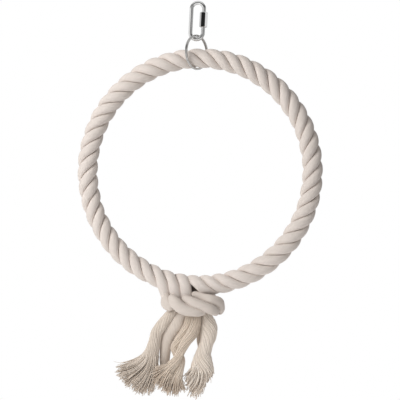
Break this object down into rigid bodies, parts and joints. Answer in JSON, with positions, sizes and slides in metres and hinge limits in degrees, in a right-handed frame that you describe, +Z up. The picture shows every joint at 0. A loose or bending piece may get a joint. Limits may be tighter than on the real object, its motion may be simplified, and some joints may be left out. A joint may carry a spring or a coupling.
{
  "type": "ring bird swing",
  "caption": "Ring-shaped bird swing of twisted cotton rope, knotted at the bottom with frayed tails, hung by a split ring from a screw-gate quick link.",
  "frame": {"origin": "hanging point, at the inside top of the quick link", "axes": "+Z up, +X to the right along the rope ring's plane, -Y towards the front"},
  "size_m": [0.2466, 0.041, 0.3972],
  "materials": {
    "link_steel": "bright nickel plate",
    "sleeve_steel": "bright nickel plate",
    "split_ring_steel": "bright nickel plate",
    "hoop_steel": "drawn wire",
    "rope_cotton": "undyed cotton, matte",
    "knot_cotton": "undyed cotton, matte",
    "tail_cotton": "undyed cotton, frayed and matte"
  },
  "bodies": {
    "hanger": {"quick_link": "link_steel"},
    "gate_sleeve": {"quick_link_sleeve": "sleeve_steel"},
    "carrier_ring": {"split_ring": "split_ring_steel"},
    "rope_ring": {"hoop_core": "hoop_steel", "ring_strand_1": "rope_cotton", "ring_strand_2": "rope_cotton", "ring_strand_3": "rope_cotton", "knot_wrap_front_1": "knot_cotton", "knot_wrap_front_2": "knot_cotton", "knot_wrap_front_3": "knot_cotton", "knot_wrap_back_1": "knot_cotton", "knot_wrap_back_2": "knot_cotton", "knot_wrap_back_3": "knot_cotton", "tucked_end_1": "knot_cotton", "tucked_end_2": "knot_cotton", "tail_1": "tail_cotton", "tail_2": "tail_cotton", "tail_3": "tail_cotton", "tail_4": "tail_cotton"}
  },
  "joints": [
    {"name": "gate_slide", "type": "slide", "parent": "hanger", "child": "gate_sleeve", "axis": [-0.0523, 0, -0.9986], "range_m": [0, 0.0055]},
    {"name": "ring_swing", "type": "hinge", "parent": "hanger", "child": "carrier_ring", "pos_m": [-0.00149, 0, -0.03466], "axis": [1, 0, 0], "range_deg": [-30, 30]},
    {"name": "rope_turn", "type": "hinge", "parent": "carrier_ring", "child": "rope_ring", "pos_m": [-0.00149, 0, -0.0634], "axis": [0, 0, 1], "range_deg": [-45, 8]}
  ]
}
